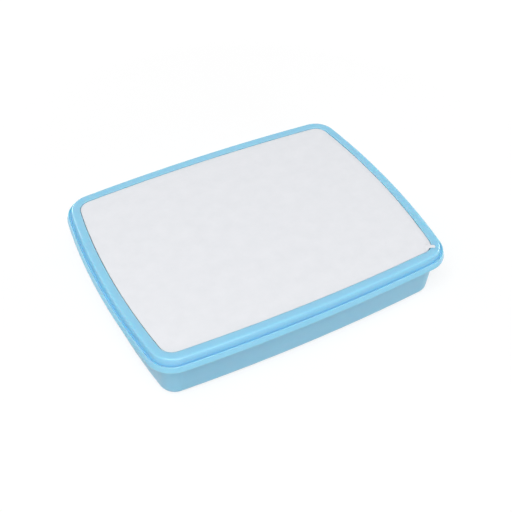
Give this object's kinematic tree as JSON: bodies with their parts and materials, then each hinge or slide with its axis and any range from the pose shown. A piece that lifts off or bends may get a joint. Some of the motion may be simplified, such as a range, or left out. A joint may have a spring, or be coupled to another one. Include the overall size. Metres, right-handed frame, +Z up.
{
  "type": "wet palette",
  "caption": "Shallow rounded-rectangle tray with a stepped rim and grip lip, filled with soaked foam pads under a flush sheet of palette paper that keeps mixed paint moist.",
  "frame": {"origin": "on the table, under the middle of the tray", "axes": "+X along the tray's length, +Y across it, away from the viewer, +Z up out of the tray's mouth"},
  "size_m": [0.204, 0.1576, 0.0369],
  "materials": {
    "tray_polypropylene": "satin",
    "foam": "matte",
    "palette_paper": "matte"
  },
  "bodies": {
    "tray": {"tray": "tray_polypropylene"},
    "lower_foam_pad": {"lower_foam_pad": "foam"},
    "upper_foam_pad": {"upper_foam_pad": "foam"},
    "palette_paper": {"palette_paper": "palette_paper"}
  },
  "joints": [
    {"name": "lower_pad_lift", "type": "slide", "parent": "tray", "child": "lower_foam_pad", "axis": [0, 0, 1], "range_m": [0, 0.06]},
    {"name": "upper_pad_lift", "type": "slide", "parent": "lower_foam_pad", "child": "upper_foam_pad", "axis": [0, 0, 1], "range_m": [0, 0.05]},
    {"name": "paper_lift", "type": "slide", "parent": "upper_foam_pad", "child": "palette_paper", "axis": [0, 0, 1], "range_m": [0, 0.04]}
  ]
}
